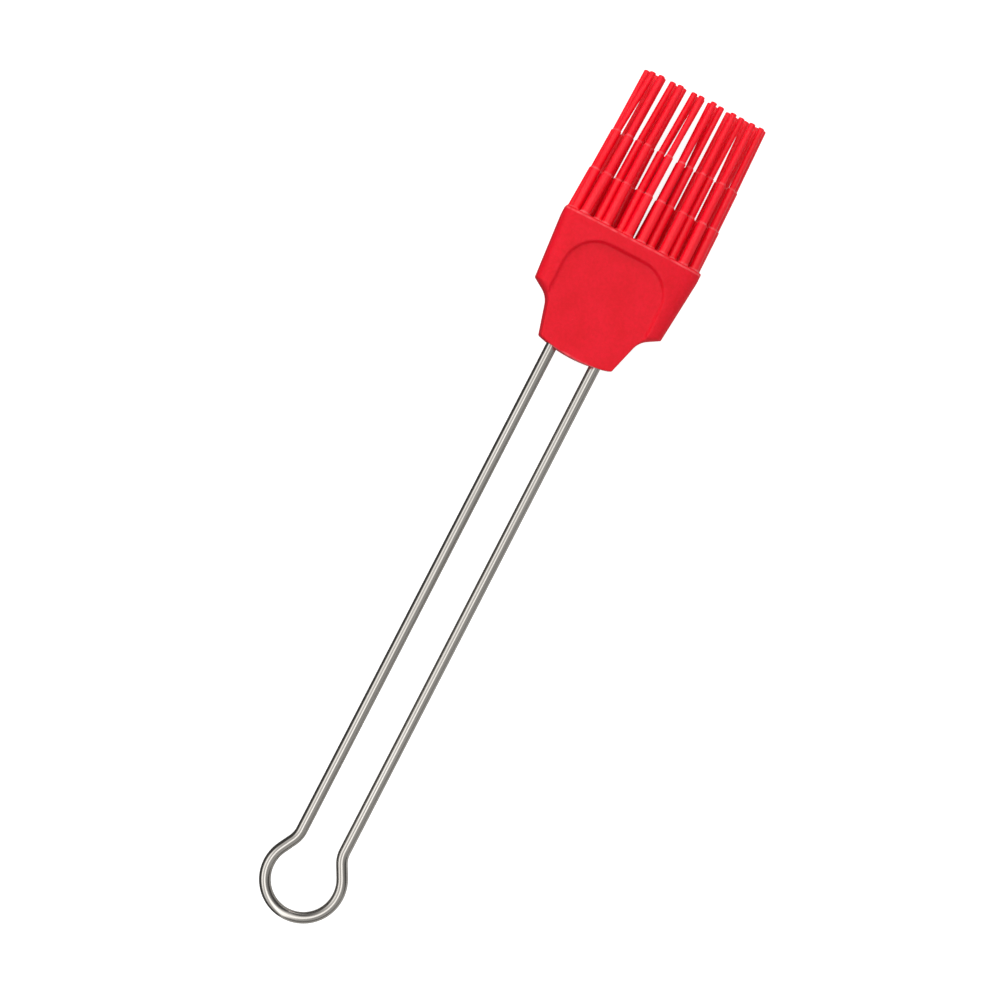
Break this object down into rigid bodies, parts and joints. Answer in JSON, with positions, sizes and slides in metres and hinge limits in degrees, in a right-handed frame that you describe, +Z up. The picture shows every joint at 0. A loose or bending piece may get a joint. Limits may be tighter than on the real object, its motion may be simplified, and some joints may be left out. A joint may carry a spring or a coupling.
{
  "type": "pastry brush",
  "caption": "Silicone pastry brush: stepped fingers in staggered rows on a flat keyed head with thumb recesses, on a hairpin wire handle with a round hanging loop.",
  "frame": {"origin": "on the surface that the brush lies on, under the middle of its bounding box", "axes": "+Y along the brush from the hanging loop to the finger tips, +X across the head, +Z up out of the head's front face"},
  "size_m": [0.0344, 0.21, 0.013],
  "materials": {
    "stainless_wire": "drawn stainless wire with fine lengthwise lines",
    "insert_nylon": "plain moulded nylon, hidden in the head",
    "red_silicone": "satin red silicone rubber"
  },
  "bodies": {
    "root": {"wire_handle": "stainless_wire", "wire_insert": "insert_nylon", "silicone_sleeve": "red_silicone", "finger_row_front": "red_silicone", "finger_row_front_middle": "red_silicone", "finger_row_back_middle": "red_silicone", "finger_row_back": "red_silicone"}
  },
  "joints": []
}
